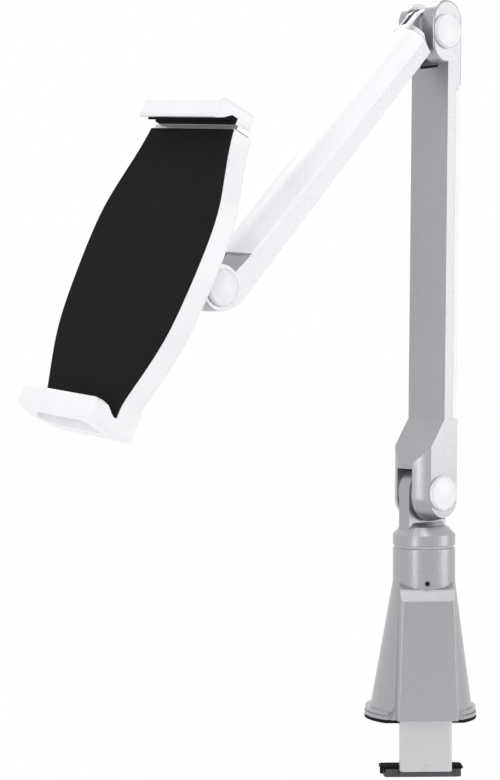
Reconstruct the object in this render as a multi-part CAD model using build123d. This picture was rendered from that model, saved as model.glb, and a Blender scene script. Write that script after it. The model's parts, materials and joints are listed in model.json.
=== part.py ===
from build123d import *
import math
import os

# Folding tablet arm with a desk clamp. Millimetres, +Z up, origin on the desk under the swivel axis,
# -Y is the front of the pedestal.

# pose in the photograph, degrees
swivel_angle = -51.78
shoulder_angle = -0.64
elbow_angle = 135.3
wrist_angle = -68.2
holder_roll = -4.8

# lengths between pivots
lower_length = 318.0
upper_length = 268.3
wrist_offset = 14.4

# clearances
turn_gap = 0.05
slide_gap = 0.3
fit_gap = 0.03
cover_gap = 0.15
swing_gap = 0.8

# foot and pedestal
pad_thickness = 2.5
foot_radius = 39.5
foot_back = 21.0
foot_chord = 7.4
flange_thickness = 2.5
groove_height = 0.7
groove_depth = 1.2
lip_thickness = 2.8
lip_inset = 0.6
cone_height = 90.3
cone_radius = 35.6
cone_back = 17.0
pedestal_wall = 4.0
neck_radius = 21.7
neck_length = 23.7
neck_round = 1.2
housing_front = 28.0
housing_back = 6.0
housing_half_low = 21.2
housing_half_high = 18.8
housing_lift = 2.4
housing_drop = 11.5
housing_slope = 7.3
roof_depth = 12.2
roof_over = 0.7
housing_edge = 2.5
skirt_width = 3.8
skirt_height = 7.5
skirt_setback = 5.0
hollow_half = 14.0
hollow_roof = 14.8
front_wall = 5.0

# swivel bearing
spindle_radius = 12.0
bush_wall = 3.0
bush_flange_height = 1.5
bush_flange_inset = 0.9
bush_length = 24.0
room_radius = 17.0
retainer_radius = 15.0
retainer_thickness = 2.0
retainer_bolt_radius = 3.4
retainer_head_radius = 6.5
retainer_head_height = 5.0
retainer_socket = 3.0
retainer_depth = 12.0
set_screw_radius = 1.7
set_screw_socket = 0.9

# clamp bar and its guide
bar_half = 18.0
bar_front = 17.0
bar_depth = 9.0
bar_wall = 2.5
bar_bevel = 1.8
bar_bottom = -32.0
bar_top = 50.0
bar_travel_up = 18.0
bar_head_room = 4.0
rivet_radius = 2.0
rivet_height = 2.6
rivet_grip = 1.0

# clamp screw
draw_radius = 2.5
draw_y = -10.3
draw_over = 2.0
draw_head_radius = 4.4
draw_head_room = 0.3
draw_head_height = 3.4
draw_socket_radius = 2.3
clip_groove = 0.7
clip_width = 1.0
clip_radius = 3.6
lug_half = 9.0
lug_bottom = 8.0
lug_top = 20.0

# clamp jaw
jaw_left = -28.2
jaw_right = 25.8
jaw_rear = 5.5
jaw_raise = 0.2
jaw_thickness = 5.6
jaw_corner = 3.0
jaw_lip = 3.6
tenon_height = 5.0
jaw_rubber_left = -31.0
jaw_rubber_right = 26.6
jaw_rubber_over = 0.8
jaw_rubber_thickness = 2.0
jaw_flap_width = 2.3
jaw_flap_drop = 3.2
jaw_flap_depth = 5.0

# turning head
disc_height = 7.45
disc_bevel_height = 5.5
disc_bevel_radius = 16.5
platform_height = 1.4
platform_reach = 2.5
tongue_half = 17.8
knuckle_clearance = 1.6

# hinge hardware
bolt_radius = 4.0
bolt_head_radius = 7.5
bolt_head_thickness = 1.6
cap_radius = 12.0
cap_rim = 2.0
cap_dome = 3.0
cap_wall = 1.2
cap_plug = 2.5
cap_round = 1.0
left_cap_radius = 9.6
left_cap_wall = 1.6
left_seat_depth = 2.8
big_washer_radius = 15.7
small_washer_radius = 11.0
shoulder_washer = 2.9
elbow_washer = 0.7
wrist_washer = 0.8
socket_radius = 9.3
socket_floor = 4.0
spring_thickness = 1.6
spring_radius = 7.9
nut_across = 13.0
nut_thickness = 5.0
thread_end = 1.4

# slots of the hinges, along the hinge axis
slot_left = -9.5
slot_right = 6.3
wrist_slot_left = -9.5
wrist_slot_right = 2.0

# arm section
arm_half = 17.8
arm_flat = 1.5
rail_height = 9.3
side_height = 13.0
crown_height = 18.7
arm_wall = 2.5
arm_floor = 2.6

# shoulder knuckle
knuckle_side = 11.1
knuckle_back = 14.2
knuckle_crown = 19.1
knuckle_side_reach = 17.3
knuckle_reach = 20.8
slope_foot = 31.8
knuckle_end = 50.8
shoulder_slot_top = 16.5
shoulder_recess = 20.0

# elbow head
head_half = 12.6
head_back = 14.8
head_reach = 21.5
head_round = 1.6
head_block = 35.0
head_chamfer = 41.0
elbow_slot_depth = 14.0
elbow_notch_depth = 23.8
elbow_notch_back = 4.0
elbow_pocket_right = 7.9
elbow_pocket_back = 11.5
elbow_clear = 22.3
elbow_tongue_radius = 17.6
tongue_groove_left = -5.4
tongue_groove_right = 0.0
tongue_groove_depth = 4.0

# where the white covers begin and end, in the middle and at the sides
lower_cover_start = 4.0
lower_cover_sweep = 6.0
lower_cover_end = 35.0
upper_cover_start = 17.4
upper_cover_start_sweep = 16.6
upper_cover_end = 28.8
upper_cover_end_sweep = 13.0
cover_end_wall = 4.0

# upper arm's underside and wrist fork
upper_flat_start = 0.2
upper_flat_end = -3.5
wrist_radius = 15.0
wrist_corner = 3.3
wrist_slot_back = 28.3
ramp_side = 12.6
ramp_top = 17.8
ramp_flat = 3.0
arm_pocket_start = 42.0
arm_pocket_end = 50.0

# wrist block
block_radius = 12.0
block_half = 8.0
block_disc_radius = 22.0
block_disc_low = 17.0
block_disc_high = 24.0
boss_gap = 1.5
boss_round = 1.5
holder_washer_inset = 2.0
holder_spindle_radius = 6.0
holder_spring_radius = 10.0
holder_nut_thickness = 4.0

# holder, heights above the wrist pivot along the pad's normal
shell_back = 38.0
pad_seat = 53.9
pad_thick = 1.0
pad_inset = 0.4
plate_half = 36.5
cavity_wall = 2.5
cavity_low = -70.0
cover_thickness = 2.5
cover_half = 40.0
cover_low = -75.0
cover_high = 82.0
shell_round = 2.5
shell_top = 86.0
shell_low = -117.5
barrel_half = 62.0
slab_start = 8.0

# lower jaw
jaw_width_half = 41.0
lip_front = 73.0
lip_top = -101.0
trough_floor = -107.8
lip_corner = 3.0
lip_end_round = 4.0
lip_thickness_front = 9.0
recess_half = 30.0
recess_depth = 6.5
recess_back = 49.0
recess_front = 66.0
recess_corner = 7.5

# upper jaw and its slide
upper_jaw_half = 40.5
upper_jaw_front = 70.0
upper_jaw_top = 102.5
upper_jaw_nose = 87.2
upper_jaw_floor = 94.0
upper_jaw_corner = 4.0
liner_inset = 0.5
liner_thickness = 1.8
crossbar_half = 43.3
crossbar_low = 86.3
crossbar_high = 89.6
crossbar_over = 1.5
crossbar_rise = 3.0
slide_plate_low = 48.9
slide_plate_thickness = 2.0
slide_plate_end = -20.0
plate_slot_half = 7.0
plate_slot_end = 10.0
spring_roll_radius = 8.0
spring_roll_height = 6.0
spring_pin_radius = 2.5
spring_y = -45.0

# heights that follow
flange_top = pad_thickness + flange_thickness
lip_low = flange_top + groove_height
foot_top = lip_low + lip_thickness
neck_start = foot_top + cone_height
neck_top = neck_start + neck_length
housing_bottom = pad_thickness + housing_lift
housing_top = neck_start - housing_drop
hollow_top = neck_start - hollow_roof
bush_bottom = neck_top - bush_length
head_bottom = neck_top + bush_flange_height + turn_gap
disc_top = head_bottom + disc_height
disc_bevel_top = disc_top + disc_bevel_height
platform_top = disc_bevel_top + platform_height
pivot_height = platform_top + knuckle_clearance + knuckle_reach
jaw_top = bar_bottom + jaw_raise
jaw_bottom = jaw_top - jaw_thickness
tenon_top = jaw_top + tenon_height
pad_front = pad_seat + pad_thick


def box(x0, x1, y0, y1, z0, z1):
    middle = Pos((x0 + x1) / 2, (y0 + y1) / 2, (z0 + z1) / 2)
    return middle * Box(x1 - x0, y1 - y0, z1 - z0)


def cyl_x(radius, x0, x1, y=0.0, z=0.0):
    return Pos((x0 + x1) / 2, y, z) * Rot(0, 90, 0) * Cylinder(radius, x1 - x0)


def cyl_y(radius, y0, y1, x=0.0, z=0.0):
    return Pos(x, (y0 + y1) / 2, z) * Rot(90, 0, 0) * Cylinder(radius, y1 - y0)


def cyl_z(radius, z0, z1, x=0.0, y=0.0):
    return Pos(x, y, (z0 + z1) / 2) * Cylinder(radius, z1 - z0)


def prism_x(points, x0, x1):
    face = make_face(Polyline(*points, close=True))
    return Pos(x0, 0, 0) * extrude(Plane.YZ * face, x1 - x0)


def prism_y(points, y0, y1):
    face = make_face(Polyline(*points, close=True))
    return Pos(0, y1, 0) * extrude(Plane.XZ * face, y1 - y0)


def prism_z(points, z0, z1):
    face = make_face(Polyline(*points, close=True))
    return Pos(0, 0, z0) * extrude(face, z1 - z0)


def hexagon(across, z, height, x=0.0, y=0.0):
    return Pos(x, y, z) * extrude(RegularPolygon(across / 2, 6, major_radius=False), height)


def upright_edges(shape, x=None, y=None, tolerance=0.05):
    found = []
    for edge in shape.edges().filter_by(Axis.Z):
        centre = edge.center()
        if x is not None and abs(centre.X - x) > tolerance:
            continue
        if y is not None and abs(centre.Y - y) > tolerance:
            continue
        found.append(edge)
    return found


# frames that travel with the arms
TURN = Rot(0, 0, swivel_angle)
LOWER = TURN * Pos(0, 0, pivot_height) * Rot(shoulder_angle, 0, 0)
UPPER = LOWER * Pos(0, 0, lower_length) * Rot(elbow_angle, 0, 0)
WRIST = UPPER * Pos(0, wrist_offset, upper_length) * Rot(wrist_angle, 0, 0)
HOLDER = WRIST * Rot(0, 0, holder_roll)

# a length that reaches past every piece, for cuts that must go right through
beyond = foot_radius + foot_back


# Pedestal
def foot_plate(radius, z0, z1):
    disc = cyl_z(radius, z0, z1, 0, foot_back)
    return disc - box(-beyond, beyond, -beyond, -foot_chord, z0 - 1, z1 + 1)


def housing_outline(widen=0.0):
    spread = (housing_half_low - housing_half_high) / (housing_top - foot_top)
    low = housing_half_low + spread * (foot_top - housing_bottom)
    high = housing_half_high - spread * (neck_start - housing_top)
    right = [(low + widen, housing_bottom), (low, housing_bottom + skirt_height), (high, neck_start + 1)]
    return right + [(-x, z) for x, z in reversed(right)]


def housing():
    side = [
        (-housing_front, housing_bottom),
        (-housing_front, housing_top),
        (-neck_radius, housing_top + housing_slope),
        (-neck_radius + roof_depth, neck_start + roof_over),
        (housing_back, neck_start + roof_over),
        (housing_back, housing_bottom),
    ]
    body = prism_x(side, -beyond, beyond) & prism_y(housing_outline(), -beyond, beyond)
    corners = []
    for edge in body.edges():
        centre = edge.center()
        if centre.Y < -housing_front + 0.1 and abs(centre.X) > hollow_half and edge.bounding_box().size.Z > 1:
            corners.append(edge)
    body = fillet(corners, housing_edge)
    skirt = prism_y(housing_outline(skirt_width), -housing_front + skirt_setback, housing_back)
    return body + (skirt & box(-beyond, beyond, -beyond, beyond, 0, housing_bottom + skirt_height))


def pedestal_cone(shrink, bottom):
    low = Pos(0, cone_back, bottom) * Circle(cone_radius - shrink)
    high = Pos(0, 0, neck_start) * Circle(neck_radius - shrink)
    return loft(Sketch() + [low, high])


def pedestal_body():
    neck = cyl_z(neck_radius, neck_start, neck_top)
    neck = fillet(neck.edges().filter_by(GeomType.CIRCLE).sort_by(Axis.Z)[-1], neck_round)
    foot = foot_plate(foot_radius, pad_thickness, flange_top)
    foot += foot_plate(foot_radius - groove_depth, flange_top, lip_low)
    foot += foot_plate(foot_radius - lip_inset, lip_low, foot_top)
    body = pedestal_cone(0, foot_top) + neck + foot + housing()
    room_top = bar_top + bar_travel_up + bar_head_room
    body -= box(-bar_half - slide_gap, bar_half + slide_gap, -bar_front - slide_gap,
                -bar_front + bar_depth + slide_gap, 0, room_top)
    hollow = box(-hollow_half, hollow_half, -front_wall, beyond, 0, hollow_top)
    body -= hollow & pedestal_cone(pedestal_wall, 0)
    body -= cyl_z(room_radius, hollow_top - 1, bush_bottom)
    body -= cyl_z(spindle_radius + bush_wall + fit_gap, bush_bottom - 1, neck_top + 1)
    lug_front = -bar_front + bar_wall + slide_gap
    body += box(-lug_half, lug_half, lug_front, -bar_front + bar_depth + 1, lug_bottom, lug_top)
    body -= cyl_z(draw_radius + turn_gap, -1, room_top, 0, draw_y)
    return body - cyl_y(set_screw_radius + fit_gap, -housing_front, -spindle_radius, 0, neck_start)


def swivel_bush():
    bush = cyl_z(spindle_radius + bush_wall, bush_bottom, neck_top)
    bush += cyl_z(neck_radius - bush_flange_inset, neck_top, neck_top + bush_flange_height)
    return bush - cyl_z(spindle_radius + turn_gap, bush_bottom - 1, head_bottom + 1)


def swivel_set_screw():
    start = -spindle_radius - bush_wall - 2 * fit_gap
    tip = -neck_radius - roof_over
    screw = cyl_y(set_screw_radius, tip, start, 0, neck_start)
    socket = Plane.XZ * RegularPolygon(set_screw_socket, 6)
    return screw - Pos(0, tip + set_screw_radius, neck_start) * extrude(socket, beyond)


# Clamp bracket and its draw screw
def clamp_bar():
    back = -bar_front + bar_depth
    inner = bar_half - bar_wall
    right = [
        (bar_half - bar_bevel, -bar_front), (bar_half, -bar_front + bar_bevel), (bar_half, back),
        (inner, back), (inner, -bar_front + bar_wall),
    ]
    left = [(-x, y) for x, y in reversed(right)]
    bar = prism_z(right + left, bar_bottom, bar_top)
    return bar - cyl_y(rivet_radius + fit_gap, -bar_front - 1, -bar_front + bar_wall + 1, 0, bar_bottom + rivet_height)


def clamp_jaw():
    back = -bar_front + bar_depth + fit_gap
    inner = bar_half - bar_wall - fit_gap
    web = -bar_front + bar_wall + fit_gap
    jaw = box(jaw_left, jaw_right, back, jaw_rear, jaw_bottom, jaw_top)
    jaw = fillet(upright_edges(jaw), jaw_corner)
    lip_bottom = bar_bottom - jaw_lip
    jaw += box(-bar_half, bar_half, -bar_front, back + jaw_corner, lip_bottom, bar_bottom - fit_gap)
    jaw += box(-inner, inner, web, back + jaw_corner, lip_bottom, jaw_top)
    jaw += box(-inner, inner, web, back, jaw_top - 1, tenon_top)
    recess_top = lip_bottom + draw_head_height
    jaw -= cyl_z(draw_radius + turn_gap, jaw_bottom - 1, tenon_top + 1, 0, draw_y)
    jaw -= cyl_z(draw_head_radius + draw_head_room, jaw_bottom - 1, recess_top, 0, draw_y)
    return jaw - cyl_y(rivet_radius + fit_gap, web - 1, web + rivet_grip, 0, bar_bottom + rivet_height)


def clamp_rivet():
    end = -bar_front + bar_wall + rivet_grip
    rivet = cyl_y(rivet_radius, -bar_front - slide_gap + turn_gap, end, 0, bar_bottom + rivet_height)
    front = rivet.faces().sort_by(Axis.Y)[0]
    return chamfer(front.edges(), slide_gap - turn_gap)


def clamp_jaw_rubber():
    front = -bar_front + bar_depth + fit_gap
    rear = jaw_rear + jaw_rubber_over
    top = jaw_top + jaw_rubber_thickness
    pad = box(jaw_rubber_left, jaw_rubber_right, front, rear, jaw_top, top)
    pad = fillet(upright_edges(pad, y=rear), jaw_corner)
    flap_right = jaw_rubber_left + jaw_flap_width
    pad += box(jaw_rubber_left, flap_right, front, front + jaw_flap_depth, jaw_top - jaw_flap_drop, top)
    return pad - cyl_z(clip_radius + turn_gap, jaw_top - 1, top + 1, 0, draw_y)


def clamp_screw():
    head_top = bar_bottom - jaw_lip + draw_head_height - turn_gap
    screw = cyl_z(draw_radius, head_top - 1, bar_top + draw_over, 0, draw_y)
    screw = chamfer(screw.edges().sort_by(Axis.Z)[-1], draw_radius / 4)
    screw += cyl_z(draw_head_radius, bar_bottom - jaw_lip + fit_gap, head_top, 0, draw_y)
    socket = RegularPolygon(draw_socket_radius, 6)
    screw -= Pos(0, draw_y, bar_bottom - jaw_lip - 1) * extrude(socket, draw_head_height)
    groove = cyl_z(draw_radius + 1, tenon_top + turn_gap, tenon_top + turn_gap + clip_width, 0, draw_y)
    return screw - (groove - cyl_z(draw_radius - clip_groove, tenon_top - 1, bar_top, 0, draw_y))


def clamp_screw_clip():
    low = tenon_top + 2 * turn_gap
    high = tenon_top + clip_width
    clip = cyl_z(clip_radius, low, high, 0, draw_y)
    clip -= cyl_z(draw_radius - clip_groove + fit_gap, low - 1, high + 1, 0, draw_y)
    mouth = draw_radius / 2
    return clip - box(-mouth, mouth, draw_y - beyond, draw_y, low - 1, high + 1)


# Turning head
def swivel_head():
    profile = [
        (0, head_bottom), (neck_radius - slide_gap, head_bottom), (neck_radius, head_bottom + slide_gap),
        (neck_radius, disc_top), (disc_bevel_radius, disc_bevel_top), (0, disc_bevel_top),
    ]
    head = revolve(Plane.XZ * make_face(Polyline(*profile, close=True)), Axis.Z)
    spindle_end = bush_bottom - turn_gap
    head += cyl_z(spindle_radius, spindle_end, head_bottom + 1)
    left = slot_left + shoulder_washer + turn_gap
    right = slot_right - shoulder_washer - turn_gap
    plate = box(left, right, -tongue_half, tongue_half, disc_top, pivot_height)
    plate += cyl_x(tongue_half, left, right, 0, pivot_height)
    clear = pivot_height + shoulder_slot_top - swing_gap
    head += plate & box(left, right, -tongue_half, tongue_half, disc_top, clear)
    flare = [
        (left - platform_reach, disc_bevel_top), (right + platform_reach, disc_bevel_top),
        (right, platform_top + platform_height), (left, platform_top + platform_height),
    ]
    head += prism_y(flare, -disc_bevel_radius + platform_reach, disc_bevel_radius - platform_reach)
    head -= cyl_x(bolt_radius + turn_gap, -beyond, beyond, 0, pivot_height)
    return head - cyl_z(retainer_bolt_radius + fit_gap, spindle_end - 1, spindle_end + retainer_depth + 2)


def swivel_washer():
    top = bush_bottom - turn_gap
    washer = cyl_z(retainer_radius, top - retainer_thickness, top)
    return washer - cyl_z(retainer_bolt_radius + fit_gap, top - retainer_thickness - 1, top + 1)


def swivel_screw():
    top = bush_bottom - turn_gap
    seat = top - retainer_thickness
    screw = cyl_z(retainer_bolt_radius, seat, top + retainer_depth)
    screw += cyl_z(retainer_head_radius, seat - retainer_head_height, seat)
    socket = Pos(0, 0, seat - retainer_head_height) * RegularPolygon(retainer_bolt_radius, 6)
    return screw - extrude(socket, retainer_socket)


# Hinge pieces, along x through the pivot
def friction_washer(x0, thickness, radius, y, z):
    washer = cyl_x(radius, x0, x0 + thickness, y, z)
    return washer - cyl_x(bolt_radius + turn_gap, x0 - 1, x0 + thickness + 1, y, z)


def hinge_bolt(right, y, z):
    end = right + socket_floor + spring_thickness + nut_thickness + thread_end
    seat = left_seat_depth - arm_half
    bolt = cyl_x(bolt_radius, seat, end, y, z)
    return bolt + cyl_x(bolt_head_radius, seat - bolt_head_thickness, seat, y, z)


def spring_washer(right, y, z):
    x0 = right + socket_floor
    cone = cyl_x(spring_radius, x0, x0 + spring_thickness, y, z)
    return cone - cyl_x(bolt_radius + fit_gap, x0 - 1, x0 + spring_thickness + 1, y, z)


def hinge_nut(right, y, z):
    x0 = right + socket_floor + spring_thickness
    outline = Plane.YZ * RegularPolygon(nut_across / 2, 6, major_radius=False)
    nut = Pos(x0, y, z) * extrude(outline, nut_thickness)
    return nut - cyl_x(bolt_radius + fit_gap, x0 - 1, x0 + nut_thickness + 1, y, z)


def cap_right(y, z):
    rim = arm_half + cap_rim
    crown = rim + cap_dome
    sphere = (cap_radius ** 2 + cap_dome ** 2) / (2 * cap_dome)
    middle = (crown - sphere + sphere * math.cos(math.asin(cap_radius / 2 / sphere)), cap_radius / 2)
    edge = Polyline((crown, 0), (arm_half, 0), (arm_half, cap_radius), (rim, cap_radius))
    face = make_face(edge + ThreePointArc((rim, cap_radius), middle, (crown, 0)))
    cap = revolve(face, Axis.X)
    cap += cyl_x(socket_radius - fit_gap, arm_half - cap_plug, arm_half)
    cap -= cyl_x(socket_radius - cap_wall, arm_half - cap_plug - 1, rim + cap_dome - cap_wall - cap_rim)
    return Pos(0, y, z) * cap


def cap_left(y, z):
    seat = left_seat_depth - arm_half
    outer = seat - bolt_head_thickness - left_cap_wall
    cap = cyl_x(left_cap_radius, outer, seat, y, z)
    cap = fillet(cap.edges().filter_by(GeomType.CIRCLE).sort_by(Axis.X)[0], cap_round)
    room = cyl_x(bolt_head_radius + slide_gap, outer + left_cap_wall - turn_gap, seat + 1, y, z)
    return cap - room


def hinge_holes(right, y, z):
    holes = cyl_x(bolt_radius + turn_gap, -arm_half - 1, arm_half + 1, y, z)
    holes += cyl_x(left_cap_radius + fit_gap, -arm_half - 1, left_seat_depth - arm_half, y, z)
    return holes + cyl_x(socket_radius, right + socket_floor, arm_half + 1, y, z)


# Arms
def arm_section(low, side, crown, half=arm_half):
    lines = Polyline((-half, side), (-half, low), (half, low), (half, side))
    return make_face(lines + ThreePointArc((half, side), (0, crown), (-half, side)))


def arm_body(z0, z1, low=arm_flat):
    return Pos(0, 0, z0) * extrude(arm_section(low, side_height, crown_height), z1 - z0)


def cover_region(bottom_mid, bottom_side, top_mid, top_side, grow=0.0):
    half = arm_half + crown_height
    factor = (half / arm_half) ** 2
    low_side = bottom_mid + (bottom_side - bottom_mid) * factor - grow
    high_side = top_mid + (top_side - top_mid) * factor + grow
    low = ThreePointArc((-half, low_side), (0, bottom_mid - grow), (half, low_side))
    high = ThreePointArc((half, high_side), (0, top_mid + grow), (-half, high_side))
    right = Line((half, low_side), (half, high_side))
    left = Line((-half, high_side), (-half, low_side))
    tall = extrude(Plane.XZ * make_face(low + right + high + left), beyond)
    return Pos(0, rail_height + beyond, 0) * tall


def cover_hollow(z0, z1):
    inner = arm_section(rail_height - 1, side_height - arm_wall, crown_height - arm_wall, arm_half - arm_wall)
    return Pos(0, 0, z0) * extrude(inner, z1 - z0)


def arm_cover(span):
    region = cover_region(*span)
    inside_low = max(span[0], span[1]) + cover_end_wall
    inside_high = min(span[2], span[3]) - cover_end_wall
    z0 = region.bounding_box().min.Z
    z1 = region.bounding_box().max.Z
    return (arm_body(z0, z1, rail_height) & region) - cover_hollow(inside_low, inside_high)


lower_span = (
    knuckle_end - lower_cover_start,
    knuckle_end - lower_cover_start + lower_cover_sweep,
    lower_length - lower_cover_end,
    lower_length - head_chamfer,
)
upper_span = (
    upper_cover_start,
    upper_cover_start + upper_cover_start_sweep,
    upper_length - upper_cover_end,
    upper_length - upper_cover_end - upper_cover_end_sweep,
)


def knuckle_outline(x, front, back, reach):
    centre = (back - front) / 2
    radius = (back + front) / 2
    top = knuckle_end + lower_cover_start
    sides = Polyline((back, radius - reach), (back, top), (-front, top), (-front, radius - reach))
    bottom = ThreePointArc((-front, radius - reach), (centre, -reach), (back, radius - reach))
    return Pos(x, 0, 0) * (Plane.YZ * make_face(sides + bottom))


def knuckle():
    sections = [
        knuckle_outline(-arm_half, knuckle_side, knuckle_back, knuckle_side_reach),
        knuckle_outline(0, knuckle_crown, crown_height, knuckle_reach),
        knuckle_outline(arm_half, knuckle_side, knuckle_back, knuckle_side_reach),
    ]
    body = loft(Sketch() + sections)
    slope = (arm_flat + knuckle_side) / (knuckle_end - slope_foot)
    front = knuckle_crown + crown_height
    back = crown_height + 1
    keep = [
        (-front, -front), (-front, slope_foot - (front - knuckle_side) / slope), (arm_flat, knuckle_end),
        (back, knuckle_end + lower_cover_start - 1), (back, -front),
    ]
    return body & prism_x(keep, -beyond, beyond)


def elbow_head():
    middle = head_reach - head_half
    low = lower_length - middle
    high = lower_length + middle
    bottom = low - math.sqrt(head_half ** 2 - arm_flat ** 2)
    diagonal = head_half / math.sqrt(2)
    chamfer_foot = lower_length - head_chamfer
    back = Polyline((arm_flat, bottom), (arm_flat, chamfer_foot), (rail_height, chamfer_foot),
                    (head_back, lower_length - head_block), (head_back, high))
    top = ((head_back - head_half) / 2, lower_length + head_reach)
    crown = ThreePointArc((head_back, high), top, (-head_half, high))
    front = Line((-head_half, high), (-head_half, low))
    chin = ThreePointArc((-head_half, low), (-diagonal, low - diagonal), (arm_flat, bottom))
    face = Plane.YZ * make_face(back + crown + front + chin)
    head = Pos(-arm_half, 0, 0) * extrude(face, 2 * arm_half)
    rims = []
    for edge in head.edges():
        centre = edge.center()
        rim = abs(abs(centre.X) - arm_half) < 0.01
        if rim and (centre.Y < arm_flat - 1 or centre.Z > lower_length + middle):
            rims.append(edge)
    return fillet(rims, head_round)


def lower_frame():
    top = lower_length
    frame = knuckle() + elbow_head()
    frame += box(-arm_half, arm_half, arm_flat, rail_height, slope_foot, top - head_block)
    frame -= box(slot_left, slot_right, -beyond, beyond, -beyond, shoulder_slot_top)
    frame -= cyl_x(shoulder_recess, slot_left, slot_right)
    frame -= box(slot_left, slot_right, -beyond, beyond, top - elbow_slot_depth, top + beyond)
    frame -= box(slot_left, slot_right, -beyond, elbow_notch_back, top - elbow_notch_depth, top)
    frame -= box(slot_left, elbow_pocket_right, 0, elbow_pocket_back, top - elbow_notch_depth, top - head_reach)
    frame -= cyl_x(elbow_tongue_radius + swing_gap, slot_left, slot_right, 0, top)
    frame -= box(-arm_half + arm_wall, arm_half - arm_wall, arm_flat + arm_floor, rail_height + 1,
                 knuckle_end + head_round, top - head_chamfer - cover_end_wall)
    frame -= cover_region(*lower_span, grow=cover_gap)
    frame -= hinge_holes(slot_right, 0, 0)
    return frame - hinge_holes(slot_right, 0, top)


def upper_side_view(low_start, low_end, z0, z1):
    slope = (low_end - low_start) / upper_length
    outline = [
        (low_start + slope * z0, z0), (low_start + slope * z1, z1), (crown_height + 1, z1), (crown_height + 1, z0),
    ]
    return prism_x(outline, -beyond, beyond)


def elbow_tongue():
    left = slot_left + elbow_washer + turn_gap
    right = slot_right - elbow_washer - turn_gap
    tongue = cyl_x(elbow_tongue_radius, left, right)
    root_end = upper_cover_start + upper_cover_start_sweep
    root = upper_body(0, root_end) & box(left, right, -beyond, beyond, 0, root_end)
    tongue += root - cover_region(*upper_span, grow=cover_gap)
    floor = elbow_tongue_radius - tongue_groove_depth
    groove = cyl_x(beyond, tongue_groove_left, tongue_groove_right)
    groove -= cyl_x(floor, tongue_groove_left - 1, tongue_groove_right + 1)
    run = box(tongue_groove_left - 1, tongue_groove_right + 1, -beyond, floor, 0, beyond)
    return tongue - (groove - run)


def upper_body(z0, z1):
    low = min(upper_flat_start, upper_flat_end) - 1
    return arm_body(z0, z1, low) & upper_side_view(upper_flat_start, upper_flat_end, z0, z1)


def wrist_cheek():
    corner = (upper_flat_end, upper_length - wrist_corner)
    across = corner[0] - wrist_offset
    along = corner[1] - upper_length
    reach = math.hypot(across, along)
    turn = math.atan2(along, across) - math.acos(wrist_radius / reach)
    touch = (wrist_offset + wrist_radius * math.cos(turn), upper_length + wrist_radius * math.sin(turn))
    root = upper_length - upper_cover_end
    web = prism_x([(ramp_side, root), (upper_flat_end, root), corner, touch, (wrist_offset, upper_length)],
                  -arm_half, arm_half)
    return web + cyl_x(wrist_radius, -arm_half, arm_half, wrist_offset, upper_length)


def upper_frame():
    top = upper_length
    frame = upper_body(0, upper_span[3])
    low = upper_flat_end - 1
    ramp = [
        (-arm_half, low), (arm_half, low), (arm_half, ramp_side), (ramp_flat, ramp_top),
        (-ramp_flat, ramp_top), (-arm_half, ramp_side),
    ]
    end = prism_z(ramp, upper_span[3] - 1, top)
    frame += end & upper_side_view(upper_flat_start, upper_flat_end, upper_span[3] - 1, top - wrist_corner)
    frame -= cover_region(*upper_span, grow=cover_gap)
    frame += wrist_cheek()
    frame -= cyl_x(elbow_clear, -arm_half - 1, arm_half + 1)
    frame += elbow_tongue()
    frame -= box(wrist_slot_left, wrist_slot_right, -beyond, beyond, top - wrist_slot_back, top + beyond)
    frame -= box(-arm_half + arm_wall, arm_half - arm_wall, arm_flat + arm_floor, rail_height + 1,
                 arm_pocket_start, top - arm_pocket_end)
    frame -= cyl_x(bolt_radius + turn_gap, -arm_half, arm_half)
    return frame - hinge_holes(wrist_slot_right, wrist_offset, top)


def upper_cover():
    return arm_cover(upper_span) - cyl_x(elbow_clear + swing_gap, -arm_half - 1, arm_half + 1)


# Wrist block: x along the hinge, z along the holder's axis
def wrist_block():
    left = wrist_slot_left + wrist_washer + turn_gap
    right = wrist_slot_right - wrist_washer - turn_gap
    block = cyl_x(block_radius, left, right)
    block += box(left, right, -block_half, block_half, 0, block_disc_low + 1)
    block += cyl_z(block_disc_radius, block_disc_low, block_disc_high)
    block -= cyl_x(bolt_radius + turn_gap, -beyond, beyond)
    washer = shell_back + cover_thickness + turn_gap
    block += cyl_z(holder_spindle_radius, block_disc_high - 1, washer)
    return block + cyl_z(bolt_radius, washer - 1, washer + spring_thickness + holder_nut_thickness + slide_gap)


def holder_friction_washer():
    low = block_disc_high + turn_gap
    high = block_disc_high + boss_gap
    ring = cyl_z(block_disc_radius - holder_washer_inset, low, high)
    return ring - cyl_z(holder_spindle_radius + turn_gap, low - 1, high + 1)


def holder_spring_washer():
    low = shell_back + cover_thickness + turn_gap
    ring = cyl_z(holder_spring_radius, low, low + spring_thickness)
    return ring - cyl_z(bolt_radius + fit_gap, low - 1, low + spring_thickness + 1)


def holder_nut():
    low = shell_back + cover_thickness + turn_gap + spring_thickness
    nut = hexagon(nut_across, low, holder_nut_thickness)
    return nut - cyl_z(bolt_radius + fit_gap, low - 1, low + holder_nut_thickness + 1)


# Holder: x across, y towards the upper jaw, z out of the pad
def barrel(low, high, inset, z0, z1):
    ends = [(jaw_width_half, low), (crossbar_half, high)]
    shares = [
        (-98, 0.67), (-88, 0.73), (-76, 0.81), (-54, 0.926), (-28, 0.982), (0, 1.0), (33, 0.955), (52, 0.858),
        (70, 0.758),
    ]
    waist = [(barrel_half * share, shell_top * y / 86) for y, share in shares]
    right = [(x - inset, y) for x, y in [ends[0]] + waist + [ends[1]]]
    left = [(-x, y) for x, y in reversed(right)]
    face = make_face(Spline(*right) + Line(right[-1], left[0]) + Spline(*left) + Line(left[-1], right[0]))
    return Pos(0, 0, z0) * extrude(face, z1 - z0)


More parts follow.
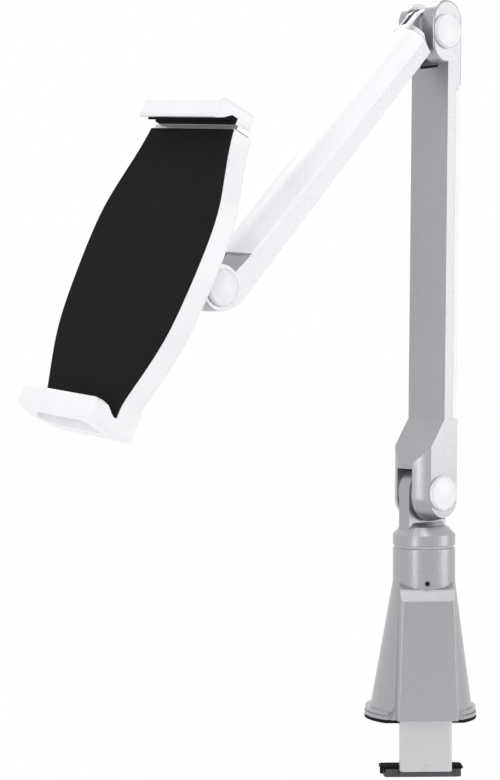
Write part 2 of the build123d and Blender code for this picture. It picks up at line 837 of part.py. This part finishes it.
def rounded_ends(half, low, high, back, front, corner):
    tall = high - low
    deep = front - back
    seen_from_front = Pos(0, (low + high) / 2, back) * extrude(RectangleRounded(2 * half, tall, corner), deep)
    plan = Rectangle(2 * half, 2 * deep)
    plan = fillet(plan.vertices(), corner)
    seen_from_above = Pos(0, low, back) * Rot(-90, 0, 0) * extrude(plan, tall)
    return seen_from_front & seen_from_above


def lower_jaw():
    front = lip_front
    bow = (trough_floor + lip_top) / 2
    profile = [
        (shell_low, shell_back), (shell_low, front - 13), (shell_low + 2, front - 6.5),
        (shell_low + 5.5, front - 1.2), (shell_low + 7.5, front), (lip_top - 1.5, front),
        (lip_top, front - 0.9), (lip_top + 0.2, front - 3.5), (lip_top - 0.3, front - 7),
        (bow + 1.1, front - 10.6), (bow - 2, front - 14.2), (trough_floor, front - 16.5),
        (trough_floor, pad_seat), (-98, pad_seat), (-98, shell_back),
    ]
    jaw = prism_x(profile, -jaw_width_half, jaw_width_half)
    reach = -98 - shell_low
    trim = rounded_ends(jaw_width_half, shell_low, shell_low + 2 * reach, shell_back - lip_corner, lip_front, lip_corner)
    jaw = jaw & trim
    tall = lip_top - shell_low + 0.2
    front = Pos(0, shell_low + tall / 2, lip_front - lip_thickness_front)
    lip = jaw & front * extrude(RectangleRounded(2 * jaw_width_half, tall, lip_end_round), lip_thickness_front)
    wide = 2 * jaw_width_half + 1
    jaw -= front * Pos(0, 0, lip_thickness_front / 2) * Box(wide, 3 * tall, lip_thickness_front)
    jaw += lip
    recess = RectangleRounded(2 * recess_half, recess_front - recess_back, recess_corner)
    middle = (recess_back + recess_front) / 2
    return jaw - Pos(0, shell_low, middle) * Rot(90, 0, 0) * extrude(recess, recess_depth, both=True)


def holder_shell():
    shell = barrel(shell_low + slab_start, shell_top, 0, shell_back, pad_seat)
    back = [e for e in shell.edges() if abs(e.center().Z - shell_back) < 0.01 and e.length > 100]
    shell = fillet(back, shell_round)
    shell += lower_jaw()
    shell -= box(-plate_half - slide_gap, plate_half + slide_gap, cavity_low, shell_top + 1,
                 shell_back + cover_thickness, pad_seat - cavity_wall)
    shell -= box(-cover_half - fit_gap, cover_half + fit_gap, cover_low - fit_gap, cover_high + fit_gap,
                 shell_back - 1, shell_back + cover_thickness)
    pin = cyl_z(spring_pin_radius, shell_back + cover_thickness + turn_gap, pad_seat - 1, 0, spring_y)
    return shell + pin


def holder_pad():
    return barrel(trough_floor + pad_inset, shell_top - pad_inset, pad_inset, pad_seat, pad_front)


def holder_cover():
    cover = box(-cover_half, cover_half, cover_low, cover_high, shell_back, shell_back + cover_thickness)
    boss = cyl_z(block_disc_radius, block_disc_high + boss_gap, shell_back + 1)
    boss = fillet(boss.edges().filter_by(GeomType.CIRCLE).sort_by(Axis.Z)[0], boss_round)
    return (cover + boss) - cyl_z(holder_spindle_radius + turn_gap, 0, pad_seat)


def jaw_spring_roll():
    low = shell_back + cover_thickness + slide_gap
    roll = cyl_z(spring_roll_radius, low, low + spring_roll_height, 0, spring_y)
    return roll - cyl_z(spring_pin_radius + turn_gap, low - 1, low + spring_roll_height + 1, 0, spring_y)


def upper_slide_plate():
    high = slide_plate_low + slide_plate_thickness
    plate = box(-plate_half, plate_half, slide_plate_end, crossbar_low + 1, slide_plate_low, high)
    plate += box(-crossbar_half, crossbar_half, crossbar_low, crossbar_high, shell_back + crossbar_rise,
                 high + crossbar_over)
    slot = box(-plate_slot_half, plate_slot_half, slide_plate_end - 1, plate_slot_end, slide_plate_low - 1,
               high + 1)
    return plate - slot


def liner_profile():
    low = slide_plate_low + slide_plate_thickness + crossbar_over
    front = upper_jaw_front
    return [
        (crossbar_high, low), (upper_jaw_floor, low), (upper_jaw_floor, front - 12.5),
        ((upper_jaw_floor + upper_jaw_nose) / 2 - 0.6, front - 7.5),
    ]


def upper_jaw():
    outer = liner_profile()
    front = upper_jaw_front
    back = shell_back + crossbar_rise
    profile = [
        (crossbar_high, back), (upper_jaw_top - 0.5, back), (upper_jaw_top, front - 15),
        (upper_jaw_top - 1, front - 5), (upper_jaw_top - 2.2, front - 1.4), (upper_jaw_top - 4, front),
        (upper_jaw_nose + 1.8, front), (upper_jaw_nose, front - 1), (upper_jaw_nose + 0.2, front - 2.8),
    ]
    jaw = prism_x(profile + outer[::-1], -upper_jaw_half, upper_jaw_half)
    low = 2 * crossbar_low - upper_jaw_top
    trim = rounded_ends(upper_jaw_half, low, upper_jaw_top, back - upper_jaw_corner, front, upper_jaw_corner)
    return jaw & trim


def upper_jaw_liner():
    outer = liner_profile()
    low = outer[0][1]
    inner = [
        (outer[3][0] - liner_thickness, outer[3][1] - liner_thickness / 2),
        (outer[2][0] - 2 * liner_thickness / 1.4, outer[2][1] - liner_thickness / 2),
        (crossbar_high, low + 2 * liner_thickness),
    ]
    half = upper_jaw_half - liner_inset
    return prism_x(outer + inner, -half, half)


def hinge_set(name, frame, left, right, thickness, radius, y, z):
    pieces = {
        f"{name}_washer_left": friction_washer(left, thickness, radius, y, z),
        f"{name}_washer_right": friction_washer(right - thickness, thickness, radius, y, z),
        f"{name}_bolt": hinge_bolt(right, y, z),
        f"{name}_spring_washer": spring_washer(right, y, z),
        f"{name}_nut": hinge_nut(right, y, z),
        f"{name}_cap_right": cap_right(y, z),
        f"{name}_cap_left": cap_left(y, z),
    }
    return {key: frame * piece for key, piece in pieces.items()}


nodes = {
    "pedestal_body": pedestal_body(),
    "foot_rubber_pad": foot_plate(foot_radius, 0, pad_thickness),
    "swivel_bush": swivel_bush(),
    "swivel_set_screw": swivel_set_screw(),
    "clamp_bar": clamp_bar(),
    "clamp_jaw": clamp_jaw(),
    "clamp_jaw_rubber": clamp_jaw_rubber(),
    "clamp_rivet": clamp_rivet(),
    "clamp_screw": clamp_screw(),
    "clamp_screw_clip": clamp_screw_clip(),
    "swivel_head": TURN * swivel_head(),
    "swivel_washer": swivel_washer(),
    "swivel_screw": swivel_screw(),
    "lower_arm_frame": LOWER * lower_frame(),
    "lower_arm_cover": LOWER * arm_cover(lower_span),
    "upper_arm_frame": UPPER * upper_frame(),
    "upper_arm_cover": UPPER * upper_cover(),
    "wrist_block": WRIST * wrist_block(),
    "holder_friction_washer": HOLDER * holder_friction_washer(),
    "holder_spring_washer": WRIST * holder_spring_washer(),
    "holder_nut": WRIST * holder_nut(),
    "holder_shell": HOLDER * holder_shell(),
    "holder_pad": HOLDER * holder_pad(),
    "holder_cover": HOLDER * holder_cover(),
    "jaw_spring_roll": HOLDER * jaw_spring_roll(),
    "upper_jaw": HOLDER * upper_jaw(),
    "upper_jaw_liner": HOLDER * upper_jaw_liner(),
    "upper_slide_plate": HOLDER * upper_slide_plate(),
}
nodes.update(hinge_set("shoulder", LOWER, slot_left, slot_right, shoulder_washer, big_washer_radius, 0, 0))
nodes.update(hinge_set("elbow", LOWER, slot_left, slot_right, elbow_washer, big_washer_radius, 0, lower_length))
nodes.update(hinge_set("wrist", UPPER, wrist_slot_left, wrist_slot_right, wrist_washer, small_washer_radius,
                       wrist_offset, upper_length))

os.makedirs("parts", exist_ok=True)
for name, shape in nodes.items():
    export_step(shape, f"parts/{name}.step")

for name, frame in (("shoulder", LOWER), ("elbow", UPPER), ("wrist", WRIST), ("holder", HOLDER)):
    across = frame * Pos(1, 0, 0)
    along = frame * Pos(0, 1, 0)
    out = frame * Pos(0, 0, 1)
    centre = frame.position
    print(name, [round(v, 3) for v in tuple(centre)],
          "x", [round(v, 6) for v in tuple(across.position - centre)],
          "y", [round(v, 6) for v in tuple(along.position - centre)],
          "z", [round(v, 6) for v in tuple(out.position - centre)])
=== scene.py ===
# %% [markdown]
# # A folding tablet arm with a desk clamp
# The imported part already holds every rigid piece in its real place, so this lesson loads it as a fixed
# frame. It gives each piece the finish that it is really made of, and remodels the pieces whose soft edges,
# domes and grooves make the object look real. Everything is in metres, and mm is the size of a millimetre.

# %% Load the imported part
import bpy
import json
import math
from mathutils import Matrix, Vector

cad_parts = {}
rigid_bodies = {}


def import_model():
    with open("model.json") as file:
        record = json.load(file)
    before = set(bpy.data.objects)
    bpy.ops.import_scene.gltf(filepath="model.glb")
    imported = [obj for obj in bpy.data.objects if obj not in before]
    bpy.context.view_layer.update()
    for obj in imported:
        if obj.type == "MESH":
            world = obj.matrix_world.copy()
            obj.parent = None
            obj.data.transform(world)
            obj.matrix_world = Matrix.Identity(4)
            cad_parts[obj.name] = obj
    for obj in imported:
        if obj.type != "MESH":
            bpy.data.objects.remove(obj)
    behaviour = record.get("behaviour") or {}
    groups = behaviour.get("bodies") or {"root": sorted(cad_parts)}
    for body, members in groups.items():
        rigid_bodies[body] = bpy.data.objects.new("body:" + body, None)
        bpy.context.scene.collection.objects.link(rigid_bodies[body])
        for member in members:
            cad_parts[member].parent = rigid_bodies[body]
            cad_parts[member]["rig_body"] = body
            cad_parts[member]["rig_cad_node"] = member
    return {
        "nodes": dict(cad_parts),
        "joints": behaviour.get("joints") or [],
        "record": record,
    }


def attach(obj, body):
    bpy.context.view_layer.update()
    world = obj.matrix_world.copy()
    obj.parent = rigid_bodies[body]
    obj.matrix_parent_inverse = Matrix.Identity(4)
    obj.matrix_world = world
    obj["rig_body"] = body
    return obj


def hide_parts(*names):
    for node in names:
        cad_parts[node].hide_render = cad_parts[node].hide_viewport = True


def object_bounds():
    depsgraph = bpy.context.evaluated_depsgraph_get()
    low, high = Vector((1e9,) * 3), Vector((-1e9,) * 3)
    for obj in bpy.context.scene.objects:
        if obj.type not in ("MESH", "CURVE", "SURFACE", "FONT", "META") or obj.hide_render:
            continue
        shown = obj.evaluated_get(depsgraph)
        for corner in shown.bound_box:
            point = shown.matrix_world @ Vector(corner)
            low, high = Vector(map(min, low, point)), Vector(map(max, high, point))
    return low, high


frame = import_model()
nodes = frame["nodes"]
cad_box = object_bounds()
mm = 0.001

# %% [markdown]
# ## Where the photographer stood
# A camera is a place, a direction and a lens. The place and direction were worked out from the photograph's
# vanishing lines and the known round caps: about 1.6 m away, a little above the middle of the arm, looking
# very slightly down. The sensor's 36 mm belong to the picture's longer side, which has 780 pixels.

# %% Camera
picture_height = 780
focal_pixels = 2265.2
sensor_width = 36
camera_place = Vector((-178.7, -1569.3, 277.4)) * mm
camera_heading = math.radians(2.094)
camera_dip = math.radians(1.667)
nearest_seen = 0.05
farthest_seen = 50

camera_data = bpy.data.cameras.new("camera")
camera_data.lens = focal_pixels * sensor_width / picture_height
camera_data.clip_start = nearest_seen
camera_data.clip_end = farthest_seen
camera = bpy.data.objects.new("camera", camera_data)
camera.location = camera_place
camera.rotation_euler = (math.pi / 2 - camera_dip, 0, -camera_heading)
bpy.context.scene.collection.objects.link(camera)
bpy.context.scene.camera = camera
print("lens", round(camera_data.lens, 1), "mm")

# %% [markdown]
# ## Helpers for materials
# A material is a small tree of nodes. These helpers keep each finish below short enough to read. Colours
# are written as sRGB hex values, as a paint chart gives them, and Blender wants linear light, so the first
# one converts them. The others empty a tree, and add a node with its settings and its links.

# %% Colours and nodes
def linear(code):
    channels = [int(code[i:i + 2], 16) / 255 for i in (0, 2, 4)]
    return tuple(c / 12.92 if c <= 0.04045 else ((c + 0.055) / 1.055) ** 2.4 for c in channels) + (1.0,)


def empty_tree(owner):
    owner.use_nodes = True
    owner.node_tree.nodes.clear()
    return owner.node_tree


def add_node(tree, kind, settings=None, inputs=None):
    node = tree.nodes.new(kind)
    for name, value in (settings or {}).items():
        setattr(node, name, value)
    for name, value in (inputs or {}).items():
        if isinstance(value, bpy.types.NodeSocket):
            tree.links.new(value, node.inputs[name])
        else:
            node.inputs[name].default_value = value
    return node


print("pure white is", linear("FFFFFF"))

# %% [markdown]
# ## What every finish has in common
# No real surface has one flat colour. Each finish here starts as a shader with its gloss and metal values,
# and a noise of a real size blends two near colours over it. Most also get a grain that lifts the skin by a
# tenth of a millimetre or less. The noise lies in the piece's own space, so it turns along with the arm.

# %% Start, noise, tint and grain of a finish
def new_finish(name, inputs):
    material = bpy.data.materials.new(name)
    tree = empty_tree(material)
    surface = add_node(tree, "ShaderNodeBsdfPrincipled", inputs=inputs)
    add_node(tree, "ShaderNodeOutputMaterial", inputs={"Surface": surface.outputs["BSDF"]})
    place = add_node(tree, "ShaderNodeTexCoord").outputs["Object"]
    print("finish", name)
    return material, tree, surface, place


def noise(tree, place, size, detail):
    inputs = {"Vector": place, "Scale": 1 / size, "Detail": detail}
    return add_node(tree, "ShaderNodeTexNoise", inputs=inputs).outputs["Fac"]


def tint(tree, surface, factor, low, high):
    ramp = add_node(tree, "ShaderNodeValToRGB", inputs={"Fac": factor})
    ramp.color_ramp.elements[0].color = linear(low)
    ramp.color_ramp.elements[1].color = linear(high)
    tree.links.new(ramp.outputs["Color"], surface.inputs["Base Color"])


def grain_bump(tree, surface, height, depth):
    bump = add_node(tree, "ShaderNodeBump", inputs={"Height": height, "Distance": depth, "Strength": 1.0})
    tree.links.new(bump.outputs["Normal"], surface.inputs["Normal"])


# %% [markdown]
# ## Silver lacquer on cast aluminium
# The pedestal, the turning head and both arm frames wear a silver lacquer: aluminium flakes of a tenth of
# a millimetre in clear binder. To the eye it is a satin grey with a fine sparkle, neither mirror nor chalk.
# The flakes are drawn about 0.7 mm across, because their real size would vanish at this distance. A faint
# cloud of 0.11 m, as a spray gun leaves it, lies under them.

# %% Silver lacquer
flake_size = 0.7 * mm
cloud_size = 1000 / 9 * mm
cloud_share = 0.25
flake_relief = 0.06 * mm

silver_lacquer, tree, surface, place = new_finish("silver_lacquer_on_aluminium",
                                                  {"Metallic": 0.7, "Roughness": 0.29})
flakes = noise(tree, place, flake_size, 2.0)
clouds = noise(tree, place, cloud_size, 2.0)
tone = add_node(tree, "ShaderNodeMath", {"operation": "MULTIPLY_ADD"}, {0: clouds, 1: cloud_share, 2: flakes})
tint(tree, surface, tone.outputs["Value"], "88888C", "B8B8BC")
grain_bump(tree, surface, flakes, flake_relief)

# %% [markdown]
# ## White moulded plastic
# Covers, caps and the holder are injection moulded ABS, bright white with a soft sheen. Moulding leaves a
# very faint unevenness in the gloss, which a large weak noise gives.

# %% White ABS
sink_size = 25 * mm
skin_size = 0.8 * mm
skin_relief = 0.02 * mm
glossiest = 0.3
dullest = 0.42

white_abs, tree, surface, place = new_finish("white_moulded_abs", {"IOR": 1.54})
sinks = noise(tree, place, sink_size, 2.0)
tint(tree, surface, sinks, "E9E8EC", "F5F4F7")
gloss = add_node(tree, "ShaderNodeMapRange", inputs={"Value": sinks, "To Min": glossiest, "To Max": dullest})
tree.links.new(gloss.outputs["Result"], surface.inputs["Roughness"])
grain_bump(tree, surface, noise(tree, place, skin_size, 2.0), skin_relief)

# %% [markdown]
# ## Black rubber sheet
# The holder's pad, the liner of its jaw, the foot's pad and the plate on the clamp jaw are black rubber:
# almost no gloss, a fine leathery grain from the calender roll, and never quite black. A Voronoi pattern
# has the rounded cells of such a grain.

# %% Black rubber
rubber_grain = 0.9 * mm
rubber_relief = 0.04 * mm
dust_size = 40 * mm

black_rubber, tree, surface, place = new_finish("black_rubber_sheet",
                                                {"Roughness": 0.85, "Specular IOR Level": 0.12})
tint(tree, surface, noise(tree, place, dust_size, 4.0), "131114", "1B181C")
grain = add_node(tree, "ShaderNodeTexVoronoi", inputs={"Vector": place, "Scale": 1 / rubber_grain})
grain_bump(tree, surface, grain.outputs["Distance"], rubber_relief)

# %% [markdown]
# ## Drawn steel
# The clamp bar and the slide plate are bright steel that was drawn through a die, so the finest scratches
# run along their length. The noise is stretched along the height to make those streaks.

# %% Drawn steel
streak_width = 0.5 * mm
streak_squeeze = 0.3
streak_relief = 0.03 * mm

drawn_steel, tree, surface, place = new_finish("drawn_bright_steel", {"Metallic": 0.6, "Roughness": 0.36})
along = add_node(tree, "ShaderNodeMapping", inputs={"Vector": place, "Scale": (1.0, 1.0, streak_squeeze)})
streaks = noise(tree, along.outputs["Vector"], streak_width, 3.0)
tint(tree, surface, streaks, "BCBCBF", "DCDCDF")
grain_bump(tree, surface, streaks, streak_relief)

# %% [markdown]
# ## Dark castings, blackened screws and bearing plastic
# The clamp jaw is a grey painted casting with a pebbly skin. Screws are blackened steel with an oily sheen.
# The bush and the friction washers are unfilled acetal, milky and smooth.

# %% Dark paint, black oxide, acetal
pebble_size = 1.2 * mm
pebble_relief = 0.1 * mm
oil_size = 10 / 3 * mm
milk_size = 25 / 3 * mm

dark_paint, tree, surface, place = new_finish("dark_grey_casting_paint", {"Roughness": 0.55})
pebbles = noise(tree, place, pebble_size, 3.0)
tint(tree, surface, pebbles, "3B393D", "4E4C50")
grain_bump(tree, surface, pebbles, pebble_relief)

black_oxide, tree, surface, place = new_finish("black_oxide_steel", {"Metallic": 0.8, "Roughness": 0.38})
tint(tree, surface, noise(tree, place, oil_size, 3.0), "242427", "3A3A3E")

acetal, tree, surface, place = new_finish("natural_acetal", {"Roughness": 0.4})
tint(tree, surface, noise(tree, place, milk_size, 2.0), "B4B4B3", "C6C6C5")

# %% [markdown]
# ## Each piece gets its finish
# The record names a finish for every piece, so one small table from finish to material dresses them all.

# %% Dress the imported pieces
finishes = {
    "silver_paint": silver_lacquer,
    "white_plastic": white_abs,
    "black_rubber": black_rubber,
    "bright_steel": drawn_steel,
    "dark_cast": dark_paint,
    "dark_steel": black_oxide,
    "pale_bearing": acetal,
}
finish_of = {entry["node"]: entry["material_slot"] for entry in frame["record"]["subparts"]}


def dress(piece, finish):
    piece.data.materials.clear()
    piece.data.materials.append(finishes[finish])


for name, finish in finish_of.items():
    dress(nodes[name], finish)
print("dressed", len(finish_of), "pieces")

# %% [markdown]
# ## Standing in for a imported piece
# A imported piece is never changed. A remodelled one takes its place instead: it is a copy with a mesh of its
# own, it rides on the same moving body, its name begins with that of the piece it replaces, and that piece is
# hidden.

# %% Helpers: an own copy, and a stand-in
def own_copy(source, name):
    bpy.ops.object.select_all(action="DESELECT")
    piece = source.copy()
    piece.data = source.data.copy()
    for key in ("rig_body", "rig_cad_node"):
        if key in piece:
            del piece[key]
    piece.name = name
    piece.parent = None
    bpy.context.scene.collection.objects.link(piece)
    return piece


def stand_in(piece, name):
    piece.data.name = piece.name
    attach(piece, nodes[name]["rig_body"])
    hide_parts(name)


# %% [markdown]
# ## Softened edges
# No real casting or moulding has a razor edge: the lacquer, the mould and the tumbling barrel leave a radius
# between a third of a millimetre and one millimetre, and it catches the light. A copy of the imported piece
# gets its doubled corners merged and its flat triangles joined back into whole faces, then a bevel that takes
# only the sharp edges. The bevel is narrower where a face has no room for it. Weighted normals keep the flat
# faces flat in the shading. The holder's shell has a flat back with a window in it. Joined into one face,
# that back would close over the window, so there the triangles are only paired.

# %% Helper: a copy with rounded edges
merge_distance = 0.01 * mm
flat_angle = math.radians(0.6)
sharp_angle = math.radians(28)
smooth_angle = math.radians(38)
edge_segments = 2
windowed = {"holder_shell"}


def modify(piece, kind, **settings):
    modifier = piece.modifiers.new(kind.lower(), kind)
    for key, value in settings.items():
        setattr(modifier, key, value)
    bpy.context.view_layer.objects.active = piece
    bpy.ops.object.modifier_apply(modifier=modifier.name)


def soften(name, radius):
    piece = own_copy(nodes[name], name + "_rounded")
    piece.select_set(True)
    bpy.context.view_layer.objects.active = piece
    bpy.ops.object.mode_set(mode="EDIT")
    bpy.ops.mesh.select_all(action="SELECT")
    bpy.ops.mesh.remove_doubles(threshold=merge_distance)
    if name in windowed:
        bpy.ops.mesh.tris_convert_to_quads(face_threshold=flat_angle, shape_threshold=math.pi)
    else:
        bpy.ops.mesh.dissolve_limited(angle_limit=flat_angle)
    bpy.ops.mesh.normals_make_consistent(inside=False)
    bpy.ops.object.mode_set(mode="OBJECT")
    modify(piece, "BEVEL", width=radius, segments=edge_segments, limit_method="ANGLE",
           angle_limit=sharp_angle, use_clamp_overlap=True, miter_outer="MITER_ARC")
    bpy.ops.object.shade_smooth_by_angle(angle=smooth_angle)
    modify(piece, "WEIGHTED_NORMAL", keep_sharp=True)
    stand_in(piece, name)
    return piece


# %% Round the visible castings and mouldings
edge_radii = {
    "pedestal_body": 0.5, "swivel_head": 0.5, "lower_arm_frame": 0.5, "upper_arm_frame": 0.5,
    "wrist_block": 0.5, "clamp_bar": 0.35, "clamp_jaw": 0.7, "clamp_jaw_rubber": 0.5, "foot_rubber_pad": 0.5,
    "lower_arm_cover": 0.4, "upper_arm_cover": 0.4, "holder_shell": 1.0, "holder_cover": 0.5,
    "upper_jaw": 1.0, "upper_jaw_liner": 0.4, "holder_pad": 0.35, "upper_slide_plate": 0.4,
}
for name, radius in edge_radii.items():
    piece = soften(name, radius * mm)
    print(name, radius, "mm,", len(piece.data.polygons), "faces")

# %% [markdown]
# ## Domed hinge caps
# Each hinge is closed by a white cap: a low wall, a fine groove and a shallow dome. A lathe would turn it
# from a disc, following a profile from the edge inward, and so does this. A cylinder is added at the wall's
# size, and its front face is inset again and again, each new ring at the profile's next radius and height.
# The groove is where the profile drops. An operator acts on all that is selected, so the front face alone is
# selected first.

# %% The cap's profile
cap_radius = 12.0 * mm
cap_wall = 2.0 * mm
cap_dome = 3.0 * mm
lip_width = 0.3 * mm
groove_width = 0.45 * mm
groove_depth = 0.5 * mm
groove_slant = 0.05 * mm
dome_rings = 14


def dome_height(radius):
    sphere = (cap_radius ** 2 + cap_dome ** 2) / (2 * cap_dome)
    return math.sqrt(sphere ** 2 - radius ** 2) - (sphere - cap_dome)


lip = cap_radius - lip_width
groove_end = lip - groove_width
crown = groove_end - groove_slant
groove_floor = dome_height(lip) - groove_depth
profile = [(cap_radius, 0.0), (lip, dome_height(lip)), (lip - groove_slant, groove_floor),
           (groove_end, groove_floor), (crown, dome_height(groove_end))]
for ring in range(1, dome_rings + 1):
    radius = crown * (1 - ring / (dome_rings + 1))
    profile.append((radius, dome_height(groove_end) + dome_height(radius) - dome_height(crown)))
print("profile of", len(profile), "rings, dome", round(profile[-1][1] / mm, 2), "mm high")

# %% Turn one pattern cap
cap_sides = 96
cap_smooth_angle = math.radians(30)

bpy.ops.object.select_all(action="DESELECT")
bpy.ops.mesh.primitive_cylinder_add(vertices=cap_sides, radius=cap_radius, depth=cap_wall,
                                    location=(0, 0, cap_wall / 2))
bpy.ops.object.transform_apply(location=True, rotation=False, scale=False)
pattern_cap = bpy.context.object
pattern_cap.name = "cap_pattern"
front = max(pattern_cap.data.polygons, key=lambda face: face.center.z).index
bpy.context.tool_settings.mesh_select_mode = (False, False, True)
for elements in (pattern_cap.data.vertices, pattern_cap.data.edges, pattern_cap.data.polygons):
    for element in elements:
        element.select = False
pattern_cap.data.polygons[front].select = True
bpy.ops.object.mode_set(mode="EDIT")
for (outer, low), (inner, high) in zip(profile, profile[1:]):
    bpy.ops.mesh.inset(thickness=outer - inner, depth=0)
    bpy.ops.transform.translate(value=(0, 0, high - low))
bpy.ops.object.mode_set(mode="OBJECT")
bpy.ops.object.shade_smooth_by_angle(angle=cap_smooth_angle)
dress(pattern_cap, "white_plastic")
heights = [vertex.co.z / mm for vertex in pattern_cap.data.vertices]
print(len(pattern_cap.data.polygons), "faces, from", round(min(heights), 2), "to", round(max(heights), 2), "mm")

# %% [markdown]
# ## Caps on their hinges
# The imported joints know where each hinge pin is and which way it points. A cap belongs on the pin's right
# end, 17.8 mm from the arm's middle, so each hinge gets a copy of the pattern with its mesh moved there. The
# pattern itself is removed.

# %% Set the caps
arm_half = 17.8 * mm
cap_joints = {"shoulder_cap_right": "shoulder", "elbow_cap_right": "elbow", "wrist_cap_right": "wrist_tilt"}


def hinge_frame(joint_name, along):
    joint = next(joint for joint in frame["joints"] if joint["name"] == joint_name)
    pin = Vector(joint["axis"]).normalized()
    if pin.x < 0:
        pin = -pin
    turn = pin.to_track_quat("Z", "Y").to_matrix().to_4x4()
    return Matrix.Translation(Vector(joint["pos_m"]) + pin * along) @ turn


for name, joint_name in cap_joints.items():
    cap = own_copy(pattern_cap, name + "_turned")
    cap.data.transform(hinge_frame(joint_name, arm_half))
    stand_in(cap, name)
    print(cap.name, "at", [round(v / mm, 1) for v in cap.data.vertices[0].co])
bpy.data.objects.remove(pattern_cap)

# %% [markdown]
# ## The studio
# The photograph was taken in a white sweep: no visible floor line and no shadow. To the camera and in
# reflections the world is plain white, and for lighting it is dimmer, so the soft lamps keep the modelling
# of the shapes. One helper tells those two kinds of light ray apart.

# %% World
plain_white = (1, 1, 1, 1)
room_light = 0.68


def pale_rays(tree):
    path = add_node(tree, "ShaderNodeLightPath")
    first = add_node(tree, "ShaderNodeMath", {"operation": "MAXIMUM"},
                     {0: path.outputs["Is Camera Ray"], 1: path.outputs["Is Glossy Ray"]})
    both = add_node(tree, "ShaderNodeMath", {"operation": "MAXIMUM"},
                    {0: first.outputs["Value"], 1: path.outputs["Is Transmission Ray"]})
    return both.outputs["Value"]


world = bpy.data.worlds.new("studio")
bpy.context.scene.world = world
tree = empty_tree(world)
white = add_node(tree, "ShaderNodeBackground", inputs={"Color": plain_white, "Strength": 1.0})
dim = add_node(tree, "ShaderNodeBackground", inputs={"Color": plain_white, "Strength": room_light})
mix = add_node(tree, "ShaderNodeMixShader",
               inputs={"Fac": pale_rays(tree), 1: dim.outputs["Background"], 2: white.outputs["Background"]})
add_node(tree, "ShaderNodeOutputWorld", inputs={"Surface": mix.outputs["Shader"]})
print("world lights at", room_light)

# %% [markdown]
# ## The paper sweep
# A large plane below the part is the floor, low enough for the clamp jaw at the end of its travel. It is
# white paper that glows to the camera, so that it joins the background without a line, and it keeps a small
# share of plain paper for the object's shadow.

# %% Floor
paper_glow = 0.97
floor_size = 40
clamp_drop = 30 * mm
floor_gap = 1 * mm

floor_paint = bpy.data.materials.new("white_paper_sweep")
tree = empty_tree(floor_paint)
paper = add_node(tree, "ShaderNodeBsdfDiffuse", inputs={"Color": linear("FCFCFC")})
glow = add_node(tree, "ShaderNodeEmission", inputs={"Color": plain_white, "Strength": 1.0})
seen = add_node(tree, "ShaderNodeMath", {"operation": "MULTIPLY"}, {0: pale_rays(tree), 1: paper_glow})
mix = add_node(tree, "ShaderNodeMixShader",
               inputs={"Fac": seen.outputs["Value"], 1: paper.outputs["BSDF"], 2: glow.outputs["Emission"]})
add_node(tree, "ShaderNodeOutputMaterial", inputs={"Surface": mix.outputs["Shader"]})

bpy.ops.object.select_all(action="DESELECT")
bpy.ops.mesh.primitive_plane_add(size=floor_size, location=(0, 0, cad_box[0][2] - clamp_drop - floor_gap))
floor = bpy.context.object
floor.name = "floor"
floor.data.materials.append(floor_paint)
print("floor at", round(floor.location.z / mm, 1), "mm")

# %% [markdown]
# ## Lamps
# The faces that look along the hinge pins, to the right and the front, are nearly white, and the flats of the
# arm, which look to the left and the front, are mid grey. So the main soft box stands far out on the right,
# where the flats get nothing from it. A tall narrow one at the front left draws the upright streak of light
# on everything round: the neck, the cone and the bulge of the lower knuckle. The upper arm is the brightest
# piece of all, so one hangs overhead, and a small one high behind it, where the arm's top mirrors it to the
# camera and the dark slope above the lower knuckle doesn't. Places and sizes are in metres from the part's
# middle, power is in watts, and every box looks at that middle.

# %% Four soft boxes
middle = (Vector(cad_box[0]) + Vector(cad_box[1])) / 2


def soft_box(name, offset, width, height, power):
    lamp_data = bpy.data.lights.new(name, "AREA")
    lamp_data.shape = "RECTANGLE"
    lamp_data.size = width
    lamp_data.size_y = height
    lamp_data.energy = power
    lamp = bpy.data.objects.new(name, lamp_data)
    lamp.location = middle + Vector(offset)
    lamp.rotation_euler = (middle - lamp.location).to_track_quat("-Z", "Y").to_euler()
    bpy.context.scene.collection.objects.link(lamp)
    print(name, power, "W")


soft_box("key_right", (2.1, -0.5, 0.1), 1.2, 1.6, 13)
soft_box("overhead", (-0.2, -0.3, 2.1), 1.2, 1.2, 9)
soft_box("high_back", (-0.4, 1.5, 1.6), 0.8, 0.8, 9)
soft_box("strip_front_left", (-1.2, -1.5, 0.4), 0.5, 1.5, 8.5)
bpy.context.scene.view_settings.view_transform = "Standard"
